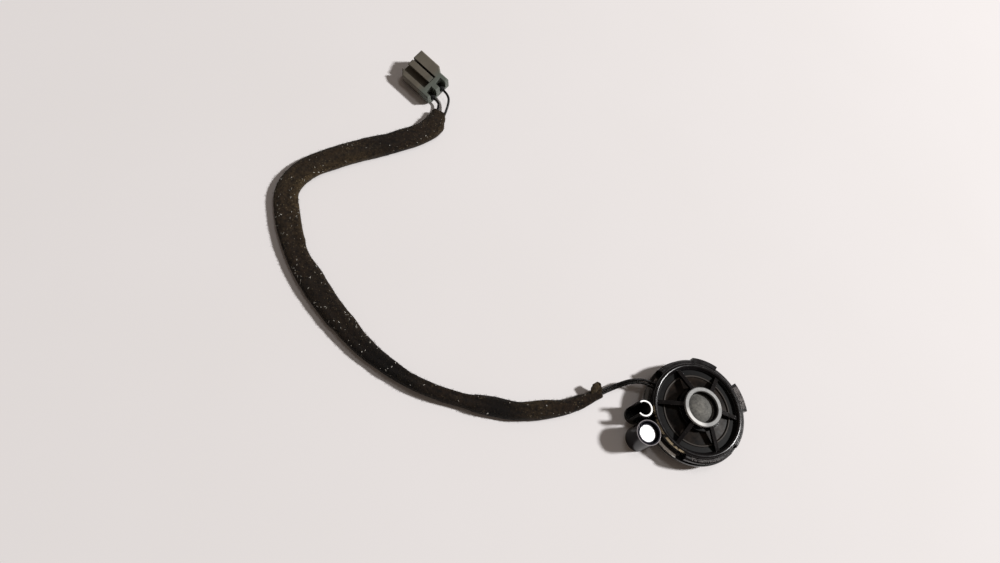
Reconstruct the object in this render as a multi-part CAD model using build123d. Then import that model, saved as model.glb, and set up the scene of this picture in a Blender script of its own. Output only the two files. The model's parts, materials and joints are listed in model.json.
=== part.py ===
from build123d import *
import math
import os

# Car tweeter on its own taped wire loom, with a two-way plug on the far end.
# The tweeter lies on its back: origin at the centre of the rear face, +Z along the axis to the dome.
# All sizes are in millimetres and all angles in degrees, counter-clockwise from +X seen from +Z.

# ---- clearances ----
SLIP = 0.05
GAP = 0.1
MOVE_GAP = 0.3

# ---- rear housing ----
HOUSING_RADIUS = 22.0
HOUSING_WALL = 1.6
FLOOR = 1.6
REAR_RECESS_RADIUS = 15.5
REAR_RECESS_DEPTH = 0.5
REAR_BOSS_RADIUS = 5.0
FLANGE_WIDTH = 3.4
FLANGE_LOW = 5.4
FLANGE_HIGH = 7.0
FLANGE_STRIP = 1.7
FLANGE_SLOT_INSET = 0.7
GUSSET_THICKNESS = 1.2
GUSSET_COUNT = 7
GUSSET_FIRST = -84.0
GUSSET_STEP = 28.0
SEAT_HEIGHT = 8.7

# ---- front plate behind the spokes ----
PLATE_THICKNESS = 1.0
PLATE_BEAD_INSET = 2.9
PLATE_BEAD_HALF = 0.5
PLATE_BEAD_HEIGHT = 0.4
PLATE_CONE_RISE = 1.3

# ---- front bezel ----
BEZEL_INSET = 0.5
BEZEL_SHELF = 10.5
BEZEL_BEAD_TOP = 11.9
BEZEL_BEAD_INSET = 3.2
BEZEL_BEAD_HALF = 1.2
BEZEL_LIP_INSET = 5.2
BEZEL_SKIRT = 0.7
CUTBACK_START = 133.7
CUTBACK_END = 248.7
LUG_HEIGHT = 2.8
REAR_LUG_OUT = 0.9
REAR_LUG_START = 59.0
REAR_LUG_END = 88.4
SIDE_LUG_OUT = 1.7
SIDE_LUG_START = 2.7
SIDE_LUG_END = 33.7
INDEX_NOTCH_ANGLE = -46.0
INDEX_NOTCH_WIDTH = 4.4
INDEX_NOTCH_DEPTH = 1.7
NUB_OUT = 0.7
NUB_HALF_ANGLE = 1.6

# ---- spokes, collar and centre ring ----
SPOKE_COUNT = 6
SPOKE_FIRST = -7.3
SPOKE_WIDTH = 1.9
COLLAR_WALL = 1.9
RING_INNER_RADIUS = 7.35
RING_WIDTH = 2.1
RING_THICKNESS = 1.0
RING_TOP = 16.4
RING_CHAMFER = 0.3

# ---- moving diaphragm ----
DOME_RADIUS = 6.9
DOME_RISE = 1.85
DOME_SKIN = 0.25
FORMER_RADIUS = 6.35
FORMER_WALL = 0.2
COIL_WALL = 0.3
COIL_LENGTH = 2.0
COIL_CLEARANCE = 0.25
SURROUND_SKIN = 0.2
SURROUND_ROLL_HEIGHT = 0.5

# ---- motor ----
YOKE_RADIUS = 9.4
YOKE_GAP = 0.55
YOKE_BASE = 2.2
YOKE_LOW = 4.2
YOKE_TOP = 12.0
POLE_THICKNESS = 1.8
MAGNET_RADIUS = 5.8
DIAPHRAGM_RING_WIDTH = 2.7
DIAPHRAGM_RING_THICKNESS = 1.0
PAD_RADIUS = 4.5
PAD_THICKNESS = 0.8
REAR_FOAM_RADIUS = 8.5

# ---- slotted mounting post and its steel clip ----
POST_ANGLE = 184.0
POST_GAP = 2.4
POST_WALL = 0.55
POST_HEIGHT = 13.4
CLIP_BORE = 3.1
CLIP_WALL = 0.55
CLIP_RIM = 0.4
CLIP_RIM_WIDTH = 0.15
POST_SLOT_ANGLE = 172.0
POST_SLOT_SPREAD = 96.0

# ---- capacitor cup and capacitor ----
CUP_ANGLE = 205.4
CUP_GAP = 2.1
CUP_WALL = 0.9
CUP_CLEARANCE = 0.55
CUP_HEIGHT = 12.8
CUP_RIB_COUNT = 3
CUP_RIB_WIDTH = 0.9
CAN_RADIUS = 4.2
CAN_WALL = 0.3
CAN_TOP = 11.3
SLEEVE_WALL = 0.25
SLEEVE_LIP = 0.3
BUNG_LOW = 3.6
BUNG_THICKNESS = 1.8
CAPACITOR_LEAD_RADIUS = 0.3
CAPACITOR_LEAD_SPREAD = 1.1
CAPACITOR_LEAD_HEIGHT = 2.3

# ---- terminal board and wires at the tweeter ----
WIRE_ANGLE = 150.0
WIRE_RADIUS = 0.65
WIRE_SPREAD = 1.1
WIRE_CLOSE_SPREAD = 0.7
WIRE_HEIGHT = 7.8
WIRE_NOTCH_WIDTH = 4.2
BOARD_GAP = 1.8
BOARD_WIDTH = 5.6
BOARD_START = 140.0
BOARD_END = 212.0
BOARD_THICKNESS = 1.6
TERMINAL_DEPTH = 1.6
TERMINAL_WIDTH = 1.4
TERMINAL_INSET = 2.0
TERMINAL_TOP = 8.4
COIL_LEAD_RADIUS = 0.25
COIL_LEAD_HEIGHT = 6.6
COIL_LEAD_OFFSET = 10.05

# ---- taped loom ----
LOOM_WIDTH = 9.6
LOOM_THICKNESS = 5.0
LOOM_CORNER = 2.0
LOOM_POINTS = [
    (-126.4, 152.6),
    (-129.0, 145.4),
    (-136.0, 138.0),
    (-146.5, 131.5),
    (-161.0, 124.0),
    (-175.5, 116.8),
    (-190.0, 107.8),
    (-198.5, 95.5),
    (-197.0, 79.5),
    (-191.5, 62.5),
    (-181.5, 46.0),
    (-169.0, 30.0),
    (-153.0, 14.5),
    (-132.5, 2.5),
    (-108.5, -4.0),
    (-82.5, -6.0),
    (-60.5, -1.5),
    (-45.5, 6.9),
]
TAB_WIDTH = 3.2
TAB_THICKNESS = 1.0
TAB_HEIGHT = 4.4
TAB_FROM_END = 3.0
TAB_SIDE = 1.2

# ---- plug ----
PLUG_ORIGIN = (-143.1, 180.3)
PLUG_TURN = -41.0
PLUG_ROLL = 19.0
PLUG_LENGTH = 21.8
PLUG_HEIGHT = 8.0
PLUG_LEFT = 9.2
PLUG_RIGHT = 8.4
PLUG_STEP_AT = 13.2
PLUG_STEP_IN = 2.2
PLUG_EDGE = 0.6
PLUG_CORNER_CUT = 3.0
PLUG_UNDERCUT = 2.6
PLUG_STEP_SLANT = 3.0
LATCH_CENTRE = -0.35
LATCH_WIDTH = 3.3
LATCH_LENGTH = 15.8
LATCH_THICKNESS = 2.0
LATCH_NARROW_SLOT = 1.2
LATCH_WIDE_SLOT = 4.1
LATCH_DROP = 1.6
CAVITY_SPREAD = 3.4
CAVITY_CENTRE = -1.6
CAVITY_WIDTH = 2.2
CAVITY_HEIGHT = 1.6
CAVITY_AXIS_HEIGHT = 2.2
CONTACT_LENGTH = 12.5
CONTACT_WALL = 0.3
CONTACT_SOCKET = 8.0
CONTACT_NECK_RADIUS = 0.65
SEAL_RADIUS = 1.5
SEAL_LENGTH = 6.0
WIRE_ENTRY_DEPTH = 1.0
REAR_OPENING_DEPTH = 3.6
REAR_OPENING_WIDTH = 4.2
LOCK_START = 7.2
LOCK_LENGTH = 7.6
LOCK_REACH = 6.4
LOCK_LOW = 3.2
LOCK_THICKNESS = 0.7

# ---- places that follow from the sizes above ----
FLANGE_RADIUS = HOUSING_RADIUS + FLANGE_WIDTH
BEZEL_RADIUS = FLANGE_RADIUS - BEZEL_INSET
BEZEL_BEAD_RADIUS = BEZEL_RADIUS - BEZEL_BEAD_INSET
BEZEL_LIP_RADIUS = BEZEL_RADIUS - BEZEL_LIP_INSET
PLATE_BEAD_RADIUS = BEZEL_LIP_RADIUS - PLATE_BEAD_INSET
PLATE_TOP = SEAT_HEIGHT + PLATE_THICKNESS
SKIRT_INNER = HOUSING_RADIUS + GAP
CUTBACK_RADIUS = SKIRT_INNER + BEZEL_SKIRT
COLLAR_OUTER = RING_INNER_RADIUS + RING_WIDTH - SLIP
COLLAR_INNER = COLLAR_OUTER - COLLAR_WALL
RING_LOW = RING_TOP - RING_THICKNESS
DIAPHRAGM_RING_TOP = YOKE_TOP + DIAPHRAGM_RING_THICKNESS
COLLAR_LOW = DIAPHRAGM_RING_TOP + SURROUND_SKIN
MAGNET_LOW = YOKE_LOW + YOKE_BASE
POLE_LOW = YOKE_TOP - POLE_THICKNESS
RING_FOOT_INNER = DOME_RADIUS + 1.0
SURROUND_ROLL_OUTER = RING_FOOT_INNER + 0.2
DIAPHRAGM_RING_OUTER = RING_FOOT_INNER + DIAPHRAGM_RING_WIDTH
FORMER_OUTER = FORMER_RADIUS + FORMER_WALL
COIL_OUTER = FORMER_OUTER + COIL_WALL
YOKE_BORE = COIL_OUTER + YOKE_GAP
POLE_RADIUS = FORMER_RADIUS - COIL_CLEARANCE
CLIP_OUTER = CLIP_BORE + CLIP_WALL
POST_RADIUS = CLIP_OUTER + POST_WALL
POST_OFFSET = HOUSING_RADIUS + POST_GAP + POST_RADIUS
SLEEVE_RADIUS = CAN_RADIUS + SLEEVE_WALL
CUP_RADIUS = SLEEVE_RADIUS + CUP_CLEARANCE + CUP_WALL
CUP_OFFSET = HOUSING_RADIUS + CUP_GAP + CUP_RADIUS
BOARD_OUTER = HOUSING_RADIUS - HOUSING_WALL - BOARD_GAP
BOARD_INNER = BOARD_OUTER - BOARD_WIDTH
TERMINAL_OUTER = BOARD_OUTER - TERMINAL_INSET
PLUG_LATCH_LOW = PLUG_HEIGHT - LATCH_THICKNESS
PLUG_POCKET_LOW = PLUG_LATCH_LOW - LATCH_DROP
PLUG_POCKET_END = LATCH_LENGTH + MOVE_GAP


def polar(radius, angle, side=0.0):
    """Point at a radius and angle, moved sideways (counter-clockwise positive)."""
    turn = math.radians(angle)
    return (
        radius * math.cos(turn) - side * math.sin(turn),
        radius * math.sin(turn) + side * math.cos(turn),
    )


def disc(radius, low, high, centre=(0.0, 0.0)):
    """Upright cylinder between two heights."""
    middle = (centre[0], centre[1], (low + high) / 2)
    return Pos(*middle) * Cylinder(radius, high - low)


def ring(inner, outer, low, high, centre=(0.0, 0.0)):
    """Upright tube between two heights."""
    return disc(outer, low, high, centre) - disc(inner, low, high, centre)


def block(start, end, side_low, side_high, low, high, angle=0.0):
    """Box along a radius: start to end outward, side_low to side_high across."""
    size = (end - start, side_high - side_low, high - low)
    middle = ((start + end) / 2, (side_low + side_high) / 2, (low + high) / 2)
    return Rot(0, 0, angle) * Pos(*middle) * Box(*size)


def turned(edges, start=0.0, arc=360.0):
    """Solid of revolution about Z from a closed (radius, height) outline."""
    outline = Plane.XZ * make_face(edges)
    return Rot(0, 0, start) * revolve(outline, axis=Axis.Z, revolution_arc=arc)


def turned_outline(points, start=0.0, arc=360.0):
    """Solid of revolution from straight-sided (radius, height) points."""
    return turned(Polyline(*points, close=True), start, arc)


def sector(inner, outer, low, high, start, end):
    """Part of a tube between two angles."""
    points = [(inner, low), (outer, low), (outer, high), (inner, high)]
    return turned_outline(points, start, end - start)


def upright_profile(points, thickness, angle):
    """Plate of a (radius, height) outline, centred on a radial plane."""
    face = Plane.XZ * make_face(Polyline(*points, close=True))
    return Rot(0, 0, angle) * extrude(face, amount=thickness / 2, both=True)


def plug_frame():
    """Plug's own frame: X from the mating face to the wires, Y across, Z up, rolled onto its edge."""
    lift = (PLUG_LEFT - PLUG_UNDERCUT) * math.sin(math.radians(PLUG_ROLL))
    return Pos(PLUG_ORIGIN[0], PLUG_ORIGIN[1], lift) * Rot(0, 0, PLUG_TURN) * Rot(PLUG_ROLL, 0, 0)


def plug_point(along, across, height):
    """Point in the plug's frame, given in the part's frame."""
    return (plug_frame() * Pos(along, across, height)).position


def corner_radii(points, share=0.45):
    """Largest smooth arc for each corner of a route."""
    radii = []
    for before, corner, after in zip(points, points[1:], points[2:]):
        first = Vector(*corner) - Vector(*before)
        second = Vector(*after) - Vector(*corner)
        turn = math.radians(first.get_angle(second))
        radii.append(share * min(first.length, second.length) / math.tan(turn / 2))
    return radii


def route_line(points):
    """Straight runs joined by tangent arcs."""
    return FilletPolyline(*points, radius=corner_radii(points))


def tube(name, points, radius):
    """Round wire along a route, with its own volume check."""
    path = route_line(points)
    section = Plane(origin=path @ 0, z_dir=path % 0) * Circle(radius)
    solid = sweep(section, path=path)
    report_route(name, points, path, solid, math.pi * radius**2)
    return solid


def report_route(name, points, path, solid, area):
    """Print the tightest arcs and compare the volume with section times length."""
    radii = [round(value, 1) for value in corner_radii(points)]
    expected = area * path.length
    print(f"{name}: length {path.length:.1f} radii {radii}")
    print(f"{name}: volume {solid.volume:.2f} section times length {expected:.2f}")


# ---- tweeter body ----
def make_rear_housing():
    """Cup-shaped shell with the mounting flange, the slotted post and the capacitor cup."""
    shell = disc(HOUSING_RADIUS, 0, FLOOR)
    shell += ring(HOUSING_RADIUS - HOUSING_WALL, HOUSING_RADIUS, 0, SEAT_HEIGHT)
    shell += ring(HOUSING_RADIUS - HOUSING_WALL / 2, FLANGE_RADIUS, FLANGE_LOW, FLANGE_HIGH)
    for index in range(GUSSET_COUNT):
        shell += make_gusset(GUSSET_FIRST + index * GUSSET_STEP)
    shell += make_post_webs()
    post = polar(POST_OFFSET, POST_ANGLE)
    cup = polar(CUP_OFFSET, CUP_ANGLE)
    shell += disc(POST_RADIUS, 0, POST_HEIGHT, post)
    shell += disc(CUP_RADIUS, 0, CUP_HEIGHT, cup)
    shell -= ring(REAR_BOSS_RADIUS, REAR_RECESS_RADIUS, 0, REAR_RECESS_DEPTH)
    for start, end in flange_slot_angles():
        shell -= sector(
            HOUSING_RADIUS + FLANGE_SLOT_INSET,
            FLANGE_RADIUS - FLANGE_STRIP,
            FLANGE_LOW - 1,
            FLANGE_HIGH + 1,
            start,
            end,
        )
    shell -= disc(CLIP_OUTER, FLOOR, POST_HEIGHT + 1, post)
    shell -= make_post_slot(POST_HEIGHT + 1)
    shell -= disc(CUP_RADIUS - CUP_WALL, FLOOR, CUP_HEIGHT + 1, cup)
    shell += make_cup_ribs()
    shell -= make_capacitor_channel()
    shell -= make_wire_notch(HOUSING_RADIUS + 0.4)
    return shell


def make_gusset(angle):
    """Triangular rib under the flange."""
    inner = HOUSING_RADIUS - HOUSING_WALL / 2
    points = [
        (inner, FLANGE_LOW - 4.2),
        (HOUSING_RADIUS + 0.4, FLANGE_LOW - 4.2),
        (FLANGE_RADIUS - 0.8, FLANGE_LOW + 0.2),
        (inner, FLANGE_LOW + 0.2),
    ]
    return upright_profile(points, GUSSET_THICKNESS, angle)


def make_post_webs():
    """Solid bridges that carry the post and the cup on the housing wall."""
    inner = HOUSING_RADIUS - HOUSING_WALL / 2
    web = block(inner, POST_OFFSET, -2.6, 2.6, 0, FLANGE_HIGH, POST_ANGLE)
    web += block(inner, CUP_OFFSET, -3.4, 3.4, 0, FLANGE_HIGH, CUP_ANGLE)
    return web


def flange_slot_angles():
    """The two long slots that leave the flange's outer strip standing free."""
    above = (CUTBACK_START + 4.0, POST_ANGLE - 9.0)
    below = (CUP_ANGLE + 12.0, CUTBACK_END - 3.0)
    return [above, below]


def make_post_slot(high):
    """Wedge that opens the post and its clip towards the outside."""
    centre = polar(POST_OFFSET, POST_ANGLE)
    reach = POST_RADIUS + 2
    low = FLOOR
    points = [(0.0, low), (reach, low), (reach, high), (0.0, high)]
    wedge = turned_outline(points, POST_SLOT_ANGLE - POST_SLOT_SPREAD / 2, POST_SLOT_SPREAD)
    return Pos(centre[0], centre[1], 0) * wedge


def make_cup_ribs():
    """Crush ribs that hold the capacitor in the middle of its cup."""
    centre = polar(CUP_OFFSET, CUP_ANGLE)
    ribs = []
    for index in range(CUP_RIB_COUNT):
        angle = CUP_ANGLE + 90 + index * 360 / CUP_RIB_COUNT
        rib = block(
            SLEEVE_RADIUS + SLIP,
            CUP_RADIUS - CUP_WALL / 2,
            -CUP_RIB_WIDTH / 2,
            CUP_RIB_WIDTH / 2,
            FLOOR,
            CAN_TOP - 1.4,
            angle,
        )
        ribs.append(Pos(centre[0], centre[1], 0) * rib)
    return ribs


def make_capacitor_channel():
    """Passage for the capacitor's leads from the cup into the housing."""
    side = CAPACITOR_LEAD_SPREAD + CAPACITOR_LEAD_RADIUS + 0.5
    inner = HOUSING_RADIUS - HOUSING_WALL - 0.5
    return block(inner, CUP_OFFSET, -side, side, FLOOR, CAPACITOR_LEAD_HEIGHT + 0.9, CUP_ANGLE)


def make_wire_notch(outer):
    """Gap in the wall where the two wires come in above the flange."""
    half = WIRE_NOTCH_WIDTH / 2
    inner = HOUSING_RADIUS - HOUSING_WALL - 0.5
    return block(inner, outer, -half, half, FLANGE_HIGH, SEAT_HEIGHT, WIRE_ANGLE)


def make_front_plate():
    """Shallow dish behind the spokes, with a bead round its floor."""
    bore = YOKE_RADIUS + SLIP
    outer = HOUSING_RADIUS
    bead_out = PLATE_BEAD_RADIUS + PLATE_BEAD_HALF
    bead_in = PLATE_BEAD_RADIUS - PLATE_BEAD_HALF
    top = (PLATE_BEAD_RADIUS, PLATE_TOP + PLATE_BEAD_HEIGHT)
    low = SEAT_HEIGHT
    edges = [
        Line((bore, low + PLATE_CONE_RISE), (bead_in, low)),
        Line((bead_in, low), (outer, low)),
        Line((outer, low), (outer, PLATE_TOP)),
        Line((outer, PLATE_TOP), (bead_out, PLATE_TOP)),
        ThreePointArc((bead_out, PLATE_TOP), top, (bead_in, PLATE_TOP)),
        Line((bead_in, PLATE_TOP), (bead_in - 0.3, PLATE_TOP - 0.2)),
        Line((bead_in - 0.3, PLATE_TOP - 0.2), (bore, PLATE_TOP + PLATE_CONE_RISE)),
        Line((bore, PLATE_TOP + PLATE_CONE_RISE), (bore, low + PLATE_CONE_RISE)),
    ]
    plate = turned(edges)
    half = WIRE_SPREAD + COIL_LEAD_RADIUS + 0.4
    reach = COIL_LEAD_OFFSET + COIL_LEAD_RADIUS + 0.6
    plate -= block(bore - 1, reach, -half, half, low - 1, PLATE_TOP + 2, WIRE_ANGLE)
    return plate


def make_front_bezel():
    """Rim, bead, spokes and collar, moulded in one piece."""
    bead_out = BEZEL_BEAD_RADIUS + BEZEL_BEAD_HALF
    bead_in = BEZEL_BEAD_RADIUS - BEZEL_BEAD_HALF
    points = [
        (bead_in, BEZEL_SHELF + 0.5),
        (BEZEL_LIP_RADIUS + 0.4, BEZEL_SHELF),
        (BEZEL_LIP_RADIUS, PLATE_TOP),
        (SKIRT_INNER, PLATE_TOP),
        (SKIRT_INNER, FLANGE_HIGH),
        (BEZEL_RADIUS, FLANGE_HIGH),
        (BEZEL_RADIUS, BEZEL_SHELF - 0.8),
        (BEZEL_RADIUS - 0.8, BEZEL_SHELF),
        (bead_out + 0.3, BEZEL_SHELF),
        (bead_out, BEZEL_SHELF + 0.3),
    ]
    crown = ThreePointArc(points[-1], (BEZEL_BEAD_RADIUS, BEZEL_BEAD_TOP), points[0])
    bezel = turned([Polyline(*points), crown])
    bezel -= sector(
        CUTBACK_RADIUS, BEZEL_RADIUS + 1, FLANGE_HIGH - 1, BEZEL_BEAD_TOP + 1, CUTBACK_START, CUTBACK_END
    )
    bezel += make_lug(REAR_LUG_OUT, REAR_LUG_START, REAR_LUG_END, BEZEL_SHELF + 0.2)
    bezel += make_lug(SIDE_LUG_OUT, SIDE_LUG_START, SIDE_LUG_END, BEZEL_SHELF)
    bezel += make_lug(NUB_OUT, CUTBACK_START - 2 * NUB_HALF_ANGLE, CUTBACK_START, BEZEL_SHELF - 0.6)
    bezel -= block(
        BEZEL_RADIUS - INDEX_NOTCH_DEPTH,
        BEZEL_RADIUS + 1,
        -INDEX_NOTCH_WIDTH / 2,
        INDEX_NOTCH_WIDTH / 2,
        FLANGE_HIGH + 1.2,
        BEZEL_SHELF + 1,
        INDEX_NOTCH_ANGLE,
    )
    bezel += ring(SURROUND_ROLL_OUTER + GAP, COLLAR_OUTER, COLLAR_LOW, RING_LOW)
    bezel += ring(COLLAR_INNER, COLLAR_OUTER, COLLAR_LOW + SURROUND_ROLL_HEIGHT + MOVE_GAP, RING_LOW)
    for index in range(SPOKE_COUNT):
        bezel += make_spoke(SPOKE_FIRST + index * 360 / SPOKE_COUNT)
    bezel -= make_wire_notch(CUTBACK_RADIUS + 0.5)
    return bezel


def make_lug(out, start, end, high):
    """Raised stretch of the rim."""
    return sector(BEZEL_RADIUS - 1.2, BEZEL_RADIUS + out, high - LUG_HEIGHT, high, start, end)


def make_spoke(angle):
    """Bar that rises from the rim's lip to the collar."""
    outer = BEZEL_LIP_RADIUS + 0.5
    inner = COLLAR_OUTER - 0.2
    bead = PLATE_BEAD_RADIUS + PLATE_BEAD_HALF
    points = [
        (outer, PLATE_TOP),
        (outer, BEZEL_SHELF + 0.3),
        (inner, RING_LOW - 0.1),
        (inner, COLLAR_LOW),
        (DIAPHRAGM_RING_OUTER + GAP, COLLAR_LOW),
        (bead - 0.1, PLATE_TOP + PLATE_BEAD_HEIGHT + 0.2),
        (bead + 0.6, PLATE_TOP),
    ]
    return upright_profile(points, SPOKE_WIDTH, angle)


def make_centre_ring():
    """Silver-grey trim ring on top of the collar."""
    outer = RING_INNER_RADIUS + RING_WIDTH
    points = [
        (RING_INNER_RADIUS, RING_LOW),
        (outer, RING_LOW),
        (outer, RING_TOP - RING_CHAMFER),
        (outer - RING_CHAMFER, RING_TOP),
        (RING_INNER_RADIUS + RING_CHAMFER, RING_TOP),
        (RING_INNER_RADIUS, RING_TOP - RING_CHAMFER),
    ]
    return turned_outline(points)


# ---- diaphragm and motor ----
def cap_arc(radius, edge_height, rise):
    """Arc of a shallow dome from its edge to its crown."""
    ball = (radius**2 + rise**2) / (2 * rise)
    middle = radius / 2
    drop = ball - math.sqrt(ball**2 - middle**2)
    top = edge_height + rise
    return ThreePointArc((radius, edge_height), (middle, top - drop), (0, top))


def make_dome():
    """Thin dome with a flat rim that sits on the voice coil former."""
    foot = COLLAR_LOW
    rim_top = foot + DOME_SKIN
    outer = DOME_RADIUS - 0.3
    inner = FORMER_RADIUS - 0.1
    crown = rim_top + DOME_RISE
    edges = [
        cap_arc(outer, rim_top, DOME_RISE),
        Line((0, crown), (0, crown - DOME_SKIN)),
        cap_arc(inner, foot, DOME_RISE),
        Line((inner, foot), (DOME_RADIUS, foot)),
        Line((DOME_RADIUS, foot), (DOME_RADIUS, rim_top)),
        Line((DOME_RADIUS, rim_top), (outer, rim_top)),
    ]
    return turned(edges)


def make_surround():
    """Half-roll edge that holds the dome in the middle of its ring."""
    inner = DOME_RADIUS + GAP
    outer = SURROUND_ROLL_OUTER
    foot = DIAPHRAGM_RING_TOP
    skin = SURROUND_SKIN
    top = foot + skin
    middle = (inner + outer) / 2
    reach = COLLAR_OUTER - 0.1
    edges = [
        Line((reach, foot), (reach, top)),
        Line((reach, top), (outer, top)),
        ThreePointArc((outer, top), (middle, top + SURROUND_ROLL_HEIGHT), (inner, top)),
        Line((inner, top), (inner, foot)),
        Line((inner, foot), (inner + skin, foot)),
        ThreePointArc((inner + skin, foot), (middle, foot + SURROUND_ROLL_HEIGHT), (outer - skin, foot)),
        Line((outer - skin, foot), (reach, foot)),
    ]
    return turned(edges)


def make_voice_coil():
    """Winding on the lower part of the former."""
    low = POLE_LOW + (POLE_THICKNESS - COIL_LENGTH) / 2
    return ring(FORMER_OUTER, COIL_OUTER, low, low + COIL_LENGTH)


def make_former():
    """Thin tube between the dome and the winding."""
    low = POLE_LOW + (POLE_THICKNESS - COIL_LENGTH) / 2 - 0.4
    return ring(FORMER_RADIUS, FORMER_OUTER, low, COLLAR_LOW)


def make_yoke_cup():
    """Steel cup that carries the flux back to the gap."""
    cup = disc(YOKE_RADIUS, YOKE_LOW, YOKE_TOP)
    return cup - disc(YOKE_BORE, MAGNET_LOW, YOKE_TOP + 1)


def make_diaphragm_ring():
    """Plastic ring that carries the surround on top of the yoke."""
    return ring(RING_FOOT_INNER, DIAPHRAGM_RING_OUTER, YOKE_TOP, DIAPHRAGM_RING_TOP)


# ---- electrical pieces ----
def make_terminal_board():
    """Curved board on the housing floor, for the terminals and the capacitor's leads."""
    return sector(BOARD_INNER, BOARD_OUTER, FLOOR, FLOOR + BOARD_THICKNESS, BOARD_START, BOARD_END)


def make_terminal(side):
    """Upright brass tab where one wire and one coil lead are soldered."""
    return block(
        TERMINAL_OUTER - TERMINAL_DEPTH,
        TERMINAL_OUTER,
        side - TERMINAL_WIDTH / 2,
        side + TERMINAL_WIDTH / 2,
        FLOOR + BOARD_THICKNESS,
        TERMINAL_TOP,
        WIRE_ANGLE,
    )


def make_coil_lead(name, side):
    """Fine lead from a terminal, through the front plate, to the diaphragm ring."""
    start = polar(TERMINAL_OUTER - TERMINAL_DEPTH, WIRE_ANGLE, side)
    corner = polar(COIL_LEAD_OFFSET, WIRE_ANGLE, side)
    points = [
        (start[0], start[1], COIL_LEAD_HEIGHT),
        (corner[0], corner[1], COIL_LEAD_HEIGHT),
        (corner[0], corner[1], YOKE_TOP),
    ]
    path = FilletPolyline(*points, radius=4 * COIL_LEAD_RADIUS)
    section = Plane(origin=path @ 0, z_dir=path % 0) * Circle(COIL_LEAD_RADIUS)
    solid = sweep(section, path=path)
    report_route(name, points, path, solid, math.pi * COIL_LEAD_RADIUS**2)
    return solid


def make_spring_clip():
    """Slotted steel sleeve with a rim, pressed into the mounting post."""
    centre = polar(POST_OFFSET, POST_ANGLE)
    clip = disc(CLIP_OUTER - SLIP, FLOOR, POST_HEIGHT + CLIP_RIM, centre)
    clip += disc(CLIP_OUTER + CLIP_RIM_WIDTH, POST_HEIGHT, POST_HEIGHT + CLIP_RIM, centre)
    clip -= disc(CLIP_BORE, FLOOR - 1, POST_HEIGHT + 1, centre)
    return clip - make_post_slot(POST_HEIGHT + 1)


def make_capacitor_can():
    """Deep-drawn aluminium can, open at the bottom."""
    centre = polar(CUP_OFFSET, CUP_ANGLE)
    can = disc(CAN_RADIUS, BUNG_LOW, CAN_TOP, centre)
    return can - disc(CAN_RADIUS - CAN_WALL, BUNG_LOW - 1, CAN_TOP - CAN_WALL, centre)


def make_capacitor_sleeve():
    """Shrink sleeve round the can, with its lip over the top edge."""
    centre = polar(CUP_OFFSET, CUP_ANGLE)
    sleeve = disc(SLEEVE_RADIUS, BUNG_LOW, CAN_TOP + SLEEVE_WALL, centre)
    sleeve -= disc(CAN_RADIUS, BUNG_LOW - 1, CAN_TOP, centre)
    return sleeve - disc(CAN_RADIUS - SLEEVE_LIP, CAN_TOP - 1, CAN_TOP + 1, centre)


def make_capacitor_bung():
    """Rubber bung in the can's open end."""
    centre = polar(CUP_OFFSET, CUP_ANGLE)
    return disc(CAN_RADIUS - CAN_WALL, BUNG_LOW, BUNG_LOW + BUNG_THICKNESS, centre)


def make_capacitor_winding():
    """Foil and paper roll inside the can."""
    centre = polar(CUP_OFFSET, CUP_ANGLE)
    low = BUNG_LOW + BUNG_THICKNESS + GAP
    return disc(CAN_RADIUS - CAN_WALL - GAP, low, CAN_TOP - CAN_WALL - GAP, centre)


def make_capacitor_lead(name, side):
    """Lead from the bung, through the channel, to the terminal board."""
    start = polar(CUP_OFFSET, CUP_ANGLE, side)
    end = polar(BOARD_OUTER + GAP, CUP_ANGLE, side)
    points = [
        (start[0], start[1], BUNG_LOW),
        (start[0], start[1], CAPACITOR_LEAD_HEIGHT),
        (end[0], end[1], CAPACITOR_LEAD_HEIGHT),
    ]
    path = FilletPolyline(*points, radius=2 * CAPACITOR_LEAD_RADIUS)
    section = Plane(origin=path @ 0, z_dir=path % 0) * Circle(CAPACITOR_LEAD_RADIUS)
    solid = sweep(section, path=path)
    report_route(name, points, path, solid, math.pi * CAPACITOR_LEAD_RADIUS**2)
    return solid


# ---- loom ----
def loom_route():
    """Centre line of the taped loom as it lies on the table."""
    return [(x, y, LOOM_THICKNESS / 2) for x, y in LOOM_POINTS]


def make_loom_wrap():
    """Flat bundle of tape round the two wires."""
    points = loom_route()
    path = route_line(points)
    plane = Plane(origin=path @ 0, x_dir=(0, 0, 1), z_dir=path % 0)
    section = plane * RectangleRounded(LOOM_THICKNESS, LOOM_WIDTH, LOOM_CORNER)
    solid = sweep(section, path=path)
    report_route("loom_wrap", points, path, solid, section.area)
    return solid


def make_tape_tab():
    """Loose end of the tape, standing up near the tweeter."""
    end = Vector(*loom_route()[-1])
    back = (Vector(*loom_route()[-2]) - end).normalized()
    across = Vector(back.Y, -back.X, 0)
    foot = end + back * TAB_FROM_END + across * TAB_SIDE
    heading = math.degrees(math.atan2(back.Y, back.X))
    tab = Box(TAB_THICKNESS, TAB_WIDTH, TAB_HEIGHT)
    return Pos(foot.X, foot.Y, LOOM_THICKNESS + TAB_HEIGHT / 2) * Rot(0, 0, heading) * tab


def loom_end(last, side):
    """Point on one end face of the loom, moved across its width."""
    route = loom_route()
    end = Vector(*(route[-1] if last else route[0]))
    inner = Vector(*(route[-2] if last else route[1]))
    out = (end - inner).normalized()
    across = Vector(-out.Y, out.X, 0)
    return end + across * side, out


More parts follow.
